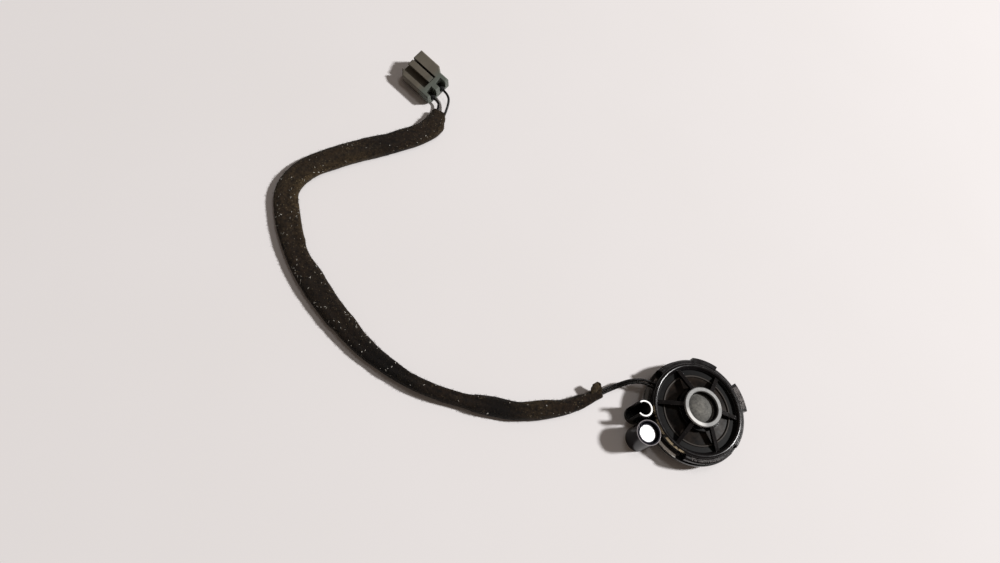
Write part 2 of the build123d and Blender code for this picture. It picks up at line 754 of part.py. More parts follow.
def make_wire(name, side):
    """Wire from a terminal, out through the notch and down into the loom, beside its neighbour."""
    close = math.copysign(WIRE_CLOSE_SPREAD, side)
    first = polar(TERMINAL_OUTER, WIRE_ANGLE, side)
    second = polar(FLANGE_RADIUS + 0.5, WIRE_ANGLE, (side + close) / 2)
    end, out = loom_end(True, -close)
    near = end + out * 3.6
    start = Vector(second[0], second[1], WIRE_HEIGHT)
    middle_a = start + (near - start) * 0.36 + Vector(-1.2, 1.6, 0.6)
    middle_b = start + (near - start) * 0.74 + Vector(-0.6, 0.8, -0.4)
    points = [
        (first[0], first[1], WIRE_HEIGHT),
        start,
        middle_a,
        middle_b,
        near,
        end,
    ]
    return tube(name, points, WIRE_RADIUS)


def make_plug_wire(name, cavity_side, loom_side, bulge):
    """Wire from a plug seal, round a small loop and into the loom."""
    across = CAVITY_CENTRE + cavity_side * CAVITY_SPREAD
    end, out = loom_end(False, loom_side)
    near = end + out * 2.0
    outlet = plug_point(PLUG_LENGTH + 1.6, across, CAVITY_AXIS_HEIGHT)
    points = [plug_point(PLUG_LENGTH - WIRE_ENTRY_DEPTH, across, CAVITY_AXIS_HEIGHT)]
    points.append(outlet)
    for share, along, sideways in bulge:
        step = outlet + (near - outlet) * share
        points.append((step.X + along, step.Y + sideways, step.Z))
    points.append(near)
    points.append(end)
    return tube(name, points, WIRE_RADIUS)


# ---- plug ----
def make_plug_housing():
    """Stepped plug body with the latch pocket, two cavities and the lock slot."""
    outline = [
        (0, -PLUG_LEFT + PLUG_CORNER_CUT),
        (PLUG_CORNER_CUT, -PLUG_LEFT),
        (PLUG_LENGTH, -PLUG_LEFT),
        (PLUG_LENGTH, PLUG_RIGHT - PLUG_STEP_IN),
        (PLUG_STEP_AT + PLUG_STEP_SLANT, PLUG_RIGHT - PLUG_STEP_IN),
        (PLUG_STEP_AT, PLUG_RIGHT),
        (0, PLUG_RIGHT),
    ]
    body = extrude(make_face(Polyline(*outline, close=True)), amount=PLUG_HEIGHT)
    body = chamfer(body.faces().sort_by(Axis.Z)[-1].edges(), PLUG_EDGE)
    body -= make_undercut()
    body -= make_latch_pocket()
    for cavity_side in (-1, 1):
        body -= make_cavity(cavity_side)
    body -= make_lock_pocket()
    return plug_frame() * body


def make_undercut():
    """Slanted cut along the lower left edge."""
    side = -PLUG_LEFT - 1
    points = [(side, -1), (-PLUG_LEFT + PLUG_UNDERCUT + 1, -1), (side, PLUG_UNDERCUT + 1)]
    wedge = Plane.YZ * make_face(Polyline(*points, close=True))
    return Pos(-1, 0, 0) * extrude(wedge, amount=PLUG_LENGTH + 2)


def make_latch_pocket():
    """Space under and beside the latch arm, open at the top and the mating end."""
    low_side = LATCH_CENTRE - LATCH_WIDTH / 2 - LATCH_WIDE_SLOT
    high_side = LATCH_CENTRE + LATCH_WIDTH / 2 + LATCH_NARROW_SLOT
    return block(-1, PLUG_POCKET_END, low_side, high_side, PLUG_POCKET_LOW, PLUG_HEIGHT + 1)


def make_cavity(cavity_side):
    """Square contact passage that widens to a round seal bore, open at the top of the rear face."""
    across = CAVITY_CENTRE + cavity_side * CAVITY_SPREAD
    half = CAVITY_WIDTH / 2
    low = CAVITY_AXIS_HEIGHT - CAVITY_HEIGHT / 2
    seal_start = PLUG_LENGTH - SEAL_LENGTH
    passage = block(-1, seal_start + 0.5, across - half, across + half, low, low + CAVITY_HEIGHT)
    bore = Rot(0, 90, 0) * Cylinder(SEAL_RADIUS, SEAL_LENGTH + 1)
    middle = seal_start + (SEAL_LENGTH + 1) / 2
    opening = block(
        PLUG_LENGTH - REAR_OPENING_DEPTH,
        PLUG_LENGTH + 1,
        across - REAR_OPENING_WIDTH / 2,
        across + REAR_OPENING_WIDTH / 2,
        CAVITY_AXIS_HEIGHT,
        PLUG_HEIGHT + 1,
    )
    return passage + Pos(middle, across, CAVITY_AXIS_HEIGHT) * bore + opening


def make_lock_pocket():
    """Side slot for the secondary lock."""
    return block(
        LOCK_START - 0.2,
        LOCK_START + LOCK_LENGTH + 0.2,
        -PLUG_LEFT - 1,
        -PLUG_LEFT + LOCK_REACH + 0.2,
        LOCK_LOW - GAP,
        LOCK_LOW + LOCK_THICKNESS + GAP,
    )


def make_plug_latch():
    """Latch arm, rooted at its rear end and free at the mating end."""
    low = PLUG_LATCH_LOW
    points = [
        (MOVE_GAP, low + 0.6),
        (1.6, low),
        (LATCH_LENGTH, low),
        (LATCH_LENGTH, PLUG_HEIGHT),
        (1.0, PLUG_HEIGHT),
        (MOVE_GAP, PLUG_HEIGHT - 0.7),
    ]
    arm = extrude(Plane.XZ * make_face(Polyline(*points, close=True)), amount=LATCH_WIDTH / 2, both=True)
    return plug_frame() * Pos(0, LATCH_CENTRE, 0) * arm


def make_plug_lock():
    """Flat secondary lock that slides in from the side."""
    slab = block(
        LOCK_START,
        LOCK_START + LOCK_LENGTH,
        -PLUG_LEFT + 0.1,
        -PLUG_LEFT + LOCK_REACH,
        LOCK_LOW,
        LOCK_LOW + LOCK_THICKNESS,
    )
    return plug_frame() * slab


def make_contact(cavity_side):
    """Brass socket contact with its crimp neck."""
    across = CAVITY_CENTRE + cavity_side * CAVITY_SPREAD
    half = CAVITY_WIDTH / 2 - GAP
    high = CAVITY_HEIGHT / 2 - GAP
    middle = CAVITY_AXIS_HEIGHT
    body = block(1.0, 1.0 + CONTACT_LENGTH, across - half, across + half, middle - high, middle + high)
    wide = half - CONTACT_WALL
    tall = high - CONTACT_WALL
    body -= block(0.0, CONTACT_SOCKET, across - wide, across + wide, middle - tall, middle + tall)
    neck_start = 0.5 + CONTACT_LENGTH
    neck_end = PLUG_LENGTH - WIRE_ENTRY_DEPTH
    neck = Rot(0, 90, 0) * Cylinder(CONTACT_NECK_RADIUS, neck_end - neck_start)
    body += Pos((neck_start + neck_end) / 2, across, middle) * neck
    return plug_frame() * body


def make_wire_seal(cavity_side):
    """Rubber seal round the wire at the rear of the plug."""
    across = CAVITY_CENTRE + cavity_side * CAVITY_SPREAD
    length = SEAL_LENGTH - 0.6
    middle = PLUG_LENGTH - length / 2
    seal = Rot(0, 90, 0) * Cylinder(SEAL_RADIUS - SLIP, length)
    seal -= Rot(0, 90, 0) * Cylinder(WIRE_RADIUS + SLIP, length + 2)
    return plug_frame() * Pos(middle, across, CAVITY_AXIS_HEIGHT) * seal


def make_parts():
    """Every node of the part by name."""
    parts = {
        "rear_housing": make_rear_housing(),
        "front_plate": make_front_plate(),
        "front_bezel": make_front_bezel(),
        "centre_ring": make_centre_ring(),
        "dome": make_dome(),
        "voice_coil_former": make_former(),
        "voice_coil": make_voice_coil(),
        "surround": make_surround(),
        "diaphragm_ring": make_diaphragm_ring(),
        "damping_pad": disc(PAD_RADIUS, YOKE_TOP, YOKE_TOP + PAD_THICKNESS),
        "pole_plate": disc(POLE_RADIUS, POLE_LOW, YOKE_TOP),
        "magnet": disc(MAGNET_RADIUS, MAGNET_LOW, POLE_LOW),
        "yoke_cup": make_yoke_cup(),
        "rear_foam": disc(REAR_FOAM_RADIUS, FLOOR, YOKE_LOW),
        "terminal_board": make_terminal_board(),
        "spring_clip": make_spring_clip(),
        "capacitor_can": make_capacitor_can(),
        "capacitor_sleeve": make_capacitor_sleeve(),
        "capacitor_bung": make_capacitor_bung(),
        "capacitor_winding": make_capacitor_winding(),
        "loom_wrap": make_loom_wrap(),
        "tape_tab": make_tape_tab(),
        "plug_housing": make_plug_housing(),
        "plug_latch": make_plug_latch(),
        "plug_secondary_lock": make_plug_lock(),
    }
    for label, side in (("positive", WIRE_SPREAD), ("negative", -WIRE_SPREAD)):
        parts[f"terminal_{label}"] = make_terminal(side)
        parts[f"coil_lead_{label}"] = make_coil_lead(f"coil_lead_{label}", side)
        parts[f"wire_{label}"] = make_wire(f"wire_{label}", side)
    for label, side in (("series", CAPACITOR_LEAD_SPREAD), ("return", -CAPACITOR_LEAD_SPREAD)):
        name = f"capacitor_lead_{label}"
        parts[name] = make_capacitor_lead(name, side)
    outer_bulge = [(0.22, 2.0, -0.4), (0.60, 1.6, 0.4)]
    inner_bulge = [(0.45, 0.85, 0.0)]
    for label, cavity_side, bulge in (("positive", 1, outer_bulge), ("negative", -1, inner_bulge)):
        parts[f"plug_contact_{label}"] = make_contact(cavity_side)
        parts[f"wire_seal_{label}"] = make_wire_seal(cavity_side)
        name = f"plug_wire_{label}"
        parts[name] = make_plug_wire(name, cavity_side, -cavity_side * 2.2, bulge)
    return parts


def main():
    os.makedirs("parts", exist_ok=True)
    for name, solid in make_parts().items():
        export_step(solid, f"parts/{name}.step")


main()
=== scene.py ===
import json
import math
import random

import bmesh
import bpy
import numpy as np
from mathutils import Matrix, Vector, noise


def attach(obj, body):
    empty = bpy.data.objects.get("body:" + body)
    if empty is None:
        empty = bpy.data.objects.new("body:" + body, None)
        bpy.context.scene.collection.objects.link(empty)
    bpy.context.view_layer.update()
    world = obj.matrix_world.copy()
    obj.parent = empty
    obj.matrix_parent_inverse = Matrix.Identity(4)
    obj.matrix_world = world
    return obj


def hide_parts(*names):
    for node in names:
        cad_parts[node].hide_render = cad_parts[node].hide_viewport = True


# Car tweeter on its fleece-taped loom, with the loom's grey plug, lying on a pale table.
# The sizes below are in millimetres and MM turns them into metres. Angles are in degrees.

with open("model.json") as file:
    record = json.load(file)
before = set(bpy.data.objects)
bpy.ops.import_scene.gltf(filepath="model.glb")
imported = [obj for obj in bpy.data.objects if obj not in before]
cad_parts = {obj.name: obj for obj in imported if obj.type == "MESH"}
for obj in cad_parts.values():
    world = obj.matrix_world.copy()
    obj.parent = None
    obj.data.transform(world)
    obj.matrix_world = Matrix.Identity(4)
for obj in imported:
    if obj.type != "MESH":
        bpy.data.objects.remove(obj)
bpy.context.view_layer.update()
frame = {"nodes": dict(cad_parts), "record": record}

MM = 0.001
TWEETER = "tweeter"

# ---- camera ----
CAMERA_PLACE = (-0.1760, -0.0890, 0.3076)
CAMERA_AIM = (-0.0945, 0.0576, 0.0050)
CAMERA_ROLL = 32.44
CAMERA_LENS = 26.0

# ---- light ----
KEY_AZIMUTH = 5.0
KEY_ELEVATION = 43.0
KEY_SIZE = 0.42
KEY_POWER = 238.0
SECOND_AZIMUTH = 60.0
SECOND_ELEVATION = 76.0
SECOND_SIZE = 0.9
SECOND_POWER = 14.0
LAMP_DISTANCE = 4.5
SKY_STRENGTH = 0.12
FLOOR_REACH = 6.0

# ---- where the marks, wear, painted highlights and painted shade of the finishes sit ----
CUP_CENTRE = (-27.1, -12.87)
CUP_OUTER = 6.1
# Radii and heights of the painted highlight on the cup's lip.
CUP_LIP = (5.62, 5.95)
CUP_LIP_HEIGHT = (12.5, 12.7)
FLANGE_BAND = (23.8, 25.3)
FLANGE_HEIGHT = (6.85, 6.95)
# Radii, heights and angles of the painted highlight line on the rim's cut-back side.
RIM_LINE = (22.55, 22.95)
RIM_LINE_HEIGHT = (10.1, 10.3)
RIM_LINE_TURN = (2.0, 62.0)
# Radii of the painted highlight on the dish's bead, then of the edge of its brown dust.
DISH_BEAD = (16.5, 17.0)
DISH_DUST = (16.6, 16.2)
# Angles round the ring of its painted shade and of its painted highlight.
RING_SHADED_TURN = (95.0, 235.0)
RING_LIT_TURN = (25.0, 75.0)
# Heights between which the clip's painted shade turns to its painted highlight.
CLIP_ROLL_HEIGHT = (13.1, 13.45)
CROWN_CENTRE = (-1.2, -0.6)
CROWN_REACH = (6.2, 1.5)
# First and last angle of each pale strip on the flange, its colour and its strength: the first
# strip is a painted highlight, the second a paler grey strip.
FLANGE_STRIPS = [(36.0, 60.0, "#fbf9f4", 1.0), (-29.0, -6.0, "#7f7d7b", 0.8)]
# Unit vector from the plug's rear to its front, and where along it the rear's grey gives way.
PLUG_AXIS = (0.755, -0.656, 0.0)
PLUG_FADE = (-213.0, -209.0)
# How far, in millimetres, the painted shade in corners and recesses reaches.
PAINTED_SHADE_REACH = 3.5
EDGE_WEAR = 0.25
PLASTIC_EDGE = 0.22
METAL_EDGE = 0.12
# The weave and the fibre ends are drawn coarser than real ones, so that they show.
WEAVE_PITCH = 0.55
SPECK_PITCH = 0.62

# ---- loom and wires: the route's points, in millimetres ----
LOOM_HEIGHT = 2.5
LOOM_ROUTE = [
    (-126.4, 152.6),
    (-129.0, 145.4),
    (-136.0, 138.0),
    (-146.5, 131.5),
    (-161.0, 124.0),
    (-175.5, 116.8),
    (-190.0, 107.8),
    (-198.5, 95.5),
    (-197.0, 79.5),
    (-191.5, 62.5),
    (-181.5, 46.0),
    (-169.0, 30.0),
    (-153.0, 14.5),
    (-132.5, 2.5),
    (-108.5, -4.0),
    (-82.5, -6.0),
    (-60.5, -1.5),
    (-45.5, 6.9),
]
# Share of the loom's length, then how far it reaches to its inner and to its outer side.
LOOM_SIDES = [
    (0.00, 2.6, 4.4),
    (0.012, 4.2, 4.7),
    (0.026, 6.0, 4.9),
    (0.05, 6.1, 5.0),
    (0.09, 5.8, 5.8),
    (0.11, 5.7, 5.5),
    (0.16, 5.4, 6.2),
    (0.22, 5.8, 5.7),
    (0.30, 5.6, 5.2),
    (0.37, 6.9, 4.7),
    (0.405, 6.7, 4.3),
    (0.425, 5.8, 4.2),
    (0.48, 7.4, 4.4),
    (0.545, 6.9, 4.0),
    (0.560, 6.8, 3.3),
    (0.60, 6.0, 3.0),
    (0.65, 5.2, 2.2),
    (0.70, 4.3, 1.8),
    (0.77, 4.6, 1.5),
    (0.82, 6.2, 2.6),
    (0.86, 4.9, 3.2),
    (0.90, 5.5, 3.0),
    (0.95, 3.4, 3.0),
    (1.00, 2.4, 2.3),
]
WIRE_RADIUS = 0.65
WIRE_ROUTES = {
    "wire_positive": [
        (-14.9, 7.3, 7.8),
        (-22.9, 12.2, 7.8),
        (-31.0, 12.3, 6.5),
        (-37.6, 9.9, 3.5),
        (-42.0, 8.0, 2.5),
        (-45.2, 6.3, 2.5),
    ],
    "wire_negative": [
        (-13.8, 9.3, 7.8),
        (-22.0, 13.7, 7.8),
        (-30.6, 13.7, 6.5),
        (-37.9, 11.2, 3.5),
        (-42.7, 9.3, 2.5),
        (-45.8, 7.5, 2.5),
    ],
    "plug_wire_positive": [
        (-126.8, 167.4, 4.8),
        (-124.8, 165.7, 4.8),
        (-122.5, 162.7, 4.3),
        (-122.5, 158.9, 3.4),
        (-123.7, 153.7, 2.5),
        (-124.3, 151.9, 2.5),
    ],
    "plug_wire_negative": [
        (-131.0, 162.5, 2.6),
        (-129.0, 160.8, 2.6),
        (-127.6, 159.1, 2.6),
        (-127.6, 157.5, 2.5),
        (-127.8, 155.2, 2.5),
        (-128.5, 153.3, 2.5),
    ],
}


# ---- small helpers ----
def direction(azimuth, elevation):
    """Unit vector for an azimuth from +X and a height above the table, in degrees."""
    turn, rise = math.radians(azimuth), math.radians(elevation)
    flat = math.cos(rise)
    return Vector((math.cos(turn) * flat, math.sin(turn) * flat, math.sin(rise)))


def metres(sizes):
    """A pair of millimetre sizes in metres."""
    return [size * MM for size in sizes]


def link(data, name):
    """New object in the scene."""
    made = bpy.data.objects.new(name, data)
    bpy.context.scene.collection.objects.link(made)
    return made


def mesh_piece(name, vertices, faces, smooth=True):
    """New mesh object from plain lists."""
    mesh = bpy.data.meshes.new(name)
    mesh.from_pydata(vertices, [], faces)
    mesh.validate()
    mesh.update()
    if smooth:
        mesh.shade_smooth()
    return link(mesh, name)


def smooth_route(points, steps=14):
    """Smooth NURBS line through a route of millimetre points, as close-set points in metres."""
    made = nurbs_curve("route", points, steps)
    mesh = bpy.data.meshes.new_from_object(made)
    line = [vertex.co.copy() for vertex in mesh.vertices]
    curve = made.data
    bpy.data.objects.remove(made)
    bpy.data.curves.remove(curve)
    bpy.data.meshes.remove(mesh)
    return line


def nurbs_curve(name, points, steps=14):
    """Curve object of one NURBS spline whose control points are the route's points."""
    curve = bpy.data.curves.new(name, "CURVE")
    curve.dimensions = "3D"
    spline = curve.splines.new("NURBS")
    spline.points.add(len(points) - 1)
    for control, point in zip(spline.points, points):
        control.co = (*(Vector(point) * MM), 1.0)
    spline.order_u = 3
    spline.use_endpoint_u = True
    spline.resolution_u = steps
    return link(curve, name)


# ---- shader helpers ----
def srgb(code):
    """Screen colour such as "#808080" as linear red, green, blue and alpha."""
    channels = [int(code[start:start + 2], 16) / 255 for start in (1, 3, 5)]
    linear = [c / 12.92 if c <= 0.04045 else ((c + 0.055) / 1.055) ** 2.4 for c in channels]
    return (*linear, 1.0)


def add(tree, kind, inputs=None, **settings):
    """Add a shader node. An input given as a socket is linked, anything else is its value."""
    made = tree.nodes.new("ShaderNode" + kind)
    for name, value in settings.items():
        setattr(made, name, value)
    for name, value in (inputs or {}).items():
        if isinstance(value, bpy.types.NodeSocket):
            tree.links.new(value, made.inputs[name])
        else:
            made.inputs[name].default_value = value
    return made


def new_material(name):
    """Empty material, its node tree and its object coordinates."""
    material = bpy.data.materials.new(name)
    material.use_nodes = True
    tree = material.node_tree
    tree.nodes.clear()
    return material, tree, add(tree, "TexCoord").outputs["Object"]


def close_material(tree, inputs):
    """Put the surface shader and the output at the end of a tree."""
    surface = add(tree, "BsdfPrincipled", inputs)
    add(tree, "OutputMaterial", {"Surface": surface.outputs["BSDF"]})


def cloud(tree, coords, size, detail=2.0, rough=0.5):
    """Noise with blobs about size millimetres across."""
    inputs = {"Vector": coords, "Scale": 1 / (size * MM), "Detail": detail, "Roughness": rough}
    return add(tree, "TexNoise", inputs).outputs[0]


def remap(tree, value, low, high, to_low=0.0, to_high=1.0):
    """Value stretched from one range to another and clamped."""
    inputs = {0: value, 1: low, 2: high, 3: to_low, 4: to_high}
    return add(tree, "MapRange", inputs, clamp=True).outputs[0]


def maths(tree, operation, first, second=0.0):
    """One arithmetic step."""
    return add(tree, "Math", {0: first, 1: second}, operation=operation).outputs[0]


def mixed(tree, factor, first, second):
    """Two colours blended by a factor."""
    return add(tree, "Mix", {0: factor, 6: first, 7: second}, data_type="RGBA").outputs[2]


def bumped(tree, height, depth, normal=None):
    """Surface normal pushed by a height of depth millimetres."""
    inputs = {"Height": height, "Distance": depth * MM, "Strength": 1.0}
    if normal is not None:
        inputs["Normal"] = normal
    return add(tree, "Bump", inputs).outputs[0]


def distance_from(tree, coords, x=0.0, y=0.0):
    """Distance in metres from an upright axis given in millimetres."""
    shifted = add(tree, "VectorMath", {0: coords, 1: (x * MM, y * MM, 0.0)}, operation="SUBTRACT")
    flat_inputs = {0: shifted.outputs[0], 1: (1.0, 1.0, 0.0)}
    flat = add(tree, "VectorMath", flat_inputs, operation="MULTIPLY")
    return add(tree, "VectorMath", {0: flat.outputs[0]}, operation="LENGTH").outputs["Value"]


def heading(tree, coords):
    """Angle round the tweeter's axis in degrees, from -180 to 180, with 0 on the post's side."""
    place = add(tree, "SeparateXYZ", {0: coords})
    back = [maths(tree, "MULTIPLY", place.outputs[axis], -1.0) for axis in ("Y", "X")]
    return maths(tree, "DEGREES", maths(tree, "ARCTAN2", back[0], back[1]))


def band(tree, value, low, high, soft):
    """1 between two limits, fading to 0 over a soft margin outside them."""
    up = remap(tree, value, low - soft, low)
    down = remap(tree, value, high, high + soft, 1.0, 0.0)
    return maths(tree, "MULTIPLY", up, down)


def worn_edges(tree, coords, radius):
    """Broken line along the outer edges, where handling has rubbed the surface."""
    turned = add(tree, "Bevel", {"Radius": radius * MM}, samples=4).outputs[0]
    face = add(tree, "NewGeometry").outputs["True Normal"]
    same = add(tree, "VectorMath", {0: turned, 1: face}, operation="DOT_PRODUCT").outputs["Value"]
    broken = remap(tree, cloud(tree, coords, 1.3, 4.0, 0.6), 0.42, 0.62)
    return maths(tree, "MULTIPLY", remap(tree, same, 0.97, 0.86), broken)


def soft_edges(tree, radius):
    """Normal that rounds off sharp edges by a radius in millimetres."""
    return add(tree, "Bevel", {"Radius": radius * MM}, samples=4).outputs[0]


# ---- camera, floor and light ----
def make_camera():
    """Camera above the table, looking down at the whole loom."""
    camera = link(bpy.data.cameras.new("camera"), "camera")
    camera.data.lens = CAMERA_LENS
    camera.data.sensor_width = 36.0
    camera.data.clip_start = 0.01
    place, aim = Vector(CAMERA_PLACE), Vector(CAMERA_AIM)
    turn = (aim - place).to_track_quat("-Z", "Y").to_matrix()
    roll = Matrix.Rotation(math.radians(CAMERA_ROLL), 3, "Z")
    camera.matrix_world = Matrix.Translation(place) @ (turn @ roll).to_4x4()
    bpy.context.scene.camera = camera


def make_floor():
    """Wide pale table top."""
    corners = [(-1, -1), (1, -1), (1, 1), (-1, 1)]
    corners = [(x * FLOOR_REACH, y * FLOOR_REACH, 0) for x, y in corners]
    floor = mesh_piece("table", corners, [(0, 1, 2, 3)], smooth=False)
    material, tree, coords = new_material("pale_lacquered_board")
    tone = mixed(tree, cloud(tree, coords, 90.0), srgb("#e9e6e7"), srgb("#e6e3e3"))
    close_material(tree, {"Base Color": tone, "Roughness": 0.9, "Specular IOR Level": 0.04})
    floor.data.materials.append(material)


def area_light(name, azimuth, elevation, size, power, colour):
    """Square light that faces the middle of the object."""
    lamp = bpy.data.lights.new(name, "AREA")
    lamp.size = size
    lamp.energy = power
    lamp.color = srgb(colour)[:3]
    made = link(lamp, name)
    aim = Vector(CAMERA_AIM)
    made.location = aim + direction(azimuth, elevation) * LAMP_DISTANCE
    made.rotation_euler = (aim - made.location).to_track_quat("-Z", "Y").to_euler()


def make_light():
    """Key lamp, a softer second lamp and an even sky."""
    area_light("key", KEY_AZIMUTH, KEY_ELEVATION, KEY_SIZE, KEY_POWER, "#fffefd")
    area_light("second", SECOND_AZIMUTH, SECOND_ELEVATION, SECOND_SIZE, SECOND_POWER, "#fffdfc")
    world = bpy.data.worlds.new("studio")
    world.use_nodes = True
    sky = world.node_tree.nodes["Background"].inputs
    sky["Color"].default_value = srgb("#ffe9d6")
    sky["Strength"].default_value = SKY_STRENGTH
    bpy.context.scene.world = world
    bpy.context.scene.view_settings.view_transform = "Standard"


# ---- materials ----
def moulded_plastic(
    name, dark, light, rough, grain=0.12, dust=0.0, wear="#5d5855", marks=None, gloss=0.35
):
    """Moulded plastic: soft edges, fine grain, uneven sheen, painted shade in its corners and
    recesses, and rubbed edges.
    """
    material, tree, coords = new_material(name)
    patch = remap(tree, cloud(tree, coords, 6.0, 4.0), 0.35, 0.7)
    colour = mixed(tree, patch, srgb(dark), srgb(light))
    sheen = remap(tree, cloud(tree, coords, 2.4, 3.0), 0.3, 0.75, rough - 0.04, rough + 0.07)
    if dust:
        speck = remap(tree, cloud(tree, coords, 1.1, 6.0, 0.7), 0.56, 0.74, 0.0, dust)
        colour = mixed(tree, speck, colour, srgb("#7d756c"))
    # Painted shade: the colour is darkened towards black in corners and recesses, found by ambient
    # occlusion.
    corner_occlusion = add(tree, "AmbientOcclusion", {"Distance": PAINTED_SHADE_REACH * MM}, samples=6).outputs["AO"]
    painted_corner_shade = mixed(tree, 0.82, colour, srgb("#050505"))
    colour = mixed(tree, remap(tree, corner_occlusion, 0.25, 0.75), painted_corner_shade, colour)
    if marks:
        colour = marks(tree, coords, colour)
    rubbed = maths(tree, "MULTIPLY", worn_edges(tree, coords, EDGE_WEAR), 0.6)
    colour = mixed(tree, rubbed, colour, srgb(wear))
    edges = soft_edges(tree, PLASTIC_EDGE)
    normal = bumped(tree, cloud(tree, coords, 0.28, 3.0), grain * 0.03, edges)
    inputs = {"Base Color": colour, "Roughness": sheen, "Normal": normal}
    inputs["Specular IOR Level"] = gloss
    close_material(tree, inputs)
    return material


def shell_marks_and_highlights(tree, coords, colour):
    """Blue-black capacitor cup, a painted highlight on the cup's lip, and pale strips on the
    flange's free edges: one a painted highlight, one a paler grey.
    """
    from_cup = distance_from(tree, coords, *CUP_CENTRE)
    cup = remap(tree, from_cup, CUP_OUTER * MM, (CUP_OUTER - 0.4) * MM)
    colour = mixed(tree, cup, colour, srgb("#0e0d1a"))
    height = add(tree, "SeparateXYZ", {0: coords}).outputs["Z"]
    # Painted highlight: a thin pale line on the top edge of the cup.
    lip = band(tree, distance_from(tree, coords, *CUP_CENTRE), *metres(CUP_LIP), 0.05 * MM)
    lip = maths(tree, "MULTIPLY", lip, remap(tree, height, *metres(CUP_LIP_HEIGHT), 0.0, 0.75))
    colour = mixed(tree, lip, colour, srgb("#a9a3a6"))
    rim = band(tree, distance_from(tree, coords), *metres(FLANGE_BAND), 0.1 * MM)
    top = remap(tree, height, *metres(FLANGE_HEIGHT))
    rim = maths(tree, "MULTIPLY", rim, top)
    angle = heading(tree, coords)
    rough = remap(tree, cloud(tree, coords, 1.0, 4.0), 0.3, 0.5, 0.75, 1.0)
    # The first strip is a painted highlight, near white where the flange would catch the lamp; the
    # second is a paler grey strip.
    for low, high, shade, depth in FLANGE_STRIPS:
        strip = maths(tree, "MULTIPLY", rim, band(tree, angle, low, high, 1.5))
        strip = maths(tree, "MULTIPLY", strip, maths(tree, "MULTIPLY", rough, depth))
        colour = mixed(tree, strip, colour, srgb(shade))
    return colour


def rim_glint_line(tree, coords, colour):
    """Painted golden highlight: a broken pale line along the cut-back side of the rim."""
    edge = band(tree, distance_from(tree, coords), *metres(RIM_LINE), 0.05 * MM)
    height = add(tree, "SeparateXYZ", {0: coords}).outputs["Z"]
    edge = maths(tree, "MULTIPLY", edge, remap(tree, height, *metres(RIM_LINE_HEIGHT)))
    side = band(tree, heading(tree, coords), *RIM_LINE_TURN, 4.0)
    broken = remap(tree, cloud(tree, coords, 4.0, 4.0, 0.6), 0.40, 0.50)
    line = maths(tree, "MULTIPLY", maths(tree, "MULTIPLY", edge, side), broken)
    return mixed(tree, line, colour, srgb("#ead9b4"))


def dish_dust_and_painted_light(tree, coords, colour):
    """Brown dust inside the dish's bead, a painted grey highlight on the bead, and near-black
    painted shade outside it.
    """
    away = distance_from(tree, coords)
    patch = remap(tree, cloud(tree, coords, 3.5, 5.0, 0.6), 0.35, 0.65)
    brown = mixed(tree, patch, srgb("#0f0d0c"), srgb("#261f1a"))
    colour = mixed(tree, remap(tree, away, *metres(DISH_DUST)), colour, brown)
    # Painted highlight: the bead is painted a lighter grey.
    bead = band(tree, away, *metres(DISH_BEAD), 0.2 * MM)
    return mixed(tree, bead, colour, srgb("#45413e"))


def ring_painted_light(tree, coords, colour):
    """Painted light on the trim ring: a painted highlight near the post and painted shade on the
    far side.
    """
    # Painted shade on the far side of the ring.
    dull = band(tree, heading(tree, coords), *RING_SHADED_TURN, 45.0)
    colour = mixed(tree, maths(tree, "MULTIPLY", dull, 0.45), colour, srgb("#4c4b4a"))
    # Painted highlight on the near side of the ring.
    rubbed = band(tree, heading(tree, coords), *RING_LIT_TURN, 22.0)
    return mixed(tree, maths(tree, "MULTIPLY", rubbed, 0.55), colour, srgb("#cfcdca"))


def satin_metal(name, colour, rough, grain_size=0.5, metallic=1.0, worn="#000000", marks=None):
    """Worn satin metal or metal lacquer, with fine grain."""
    material, tree, coords = new_material(name)
    patch = remap(tree, cloud(tree, coords, grain_size, 4.0), 0.3, 0.75)
    tone = mixed(tree, patch, srgb(colour), mixed(tree, 0.25, srgb(colour), srgb("#000000")))
    chip = remap(tree, cloud(tree, coords, 1.4, 6.0, 0.7), 0.60, 0.68, 0.0, 0.7)
    tone = mixed(tree, chip, tone, mixed(tree, 0.5, srgb(colour), srgb(worn)))
    if marks:
        tone = marks(tree, coords, tone)
    sheen = remap(tree, cloud(tree, coords, 0.9, 3.0), 0.3, 0.7, rough - 0.06, rough + 0.08)
    normal = bumped(tree, cloud(tree, coords, 0.2, 2.0), 0.004, soft_edges(tree, METAL_EDGE))
    inputs = {"Base Color": tone, "Metallic": metallic, "Roughness": sheen, "Normal": normal}
    close_material(tree, inputs)
    return material


def clip_steel_painted_light(name):
    """Spring steel: a painted highlight on its rolled rim, and painted shade, near black, inside.
    """
    material, tree, coords = new_material(name)
    height = add(tree, "SeparateXYZ", {0: coords}).outputs["Z"]
    # Painted highlight above this height, painted shade below it.
    bright = remap(tree, height, *metres(CLIP_ROLL_HEIGHT))
    tone = mixed(tree, bright, srgb("#0c0c0c"), srgb("#ededec"))
    stain = remap(tree, cloud(tree, coords, 0.8, 4.0), 0.45, 0.8, 0.0, 0.5)
    tone = mixed(tree, stain, tone, srgb("#55524e"))
    normal = bumped(tree, cloud(tree, coords, 0.3, 2.0), 0.004, soft_edges(tree, METAL_EDGE))
    metal = remap(tree, bright, 0.0, 1.0, 0.9, 0.45)
    inputs = {"Base Color": tone, "Metallic": metal, "Roughness": 0.42, "Normal": normal}
    close_material(tree, inputs)
    return material


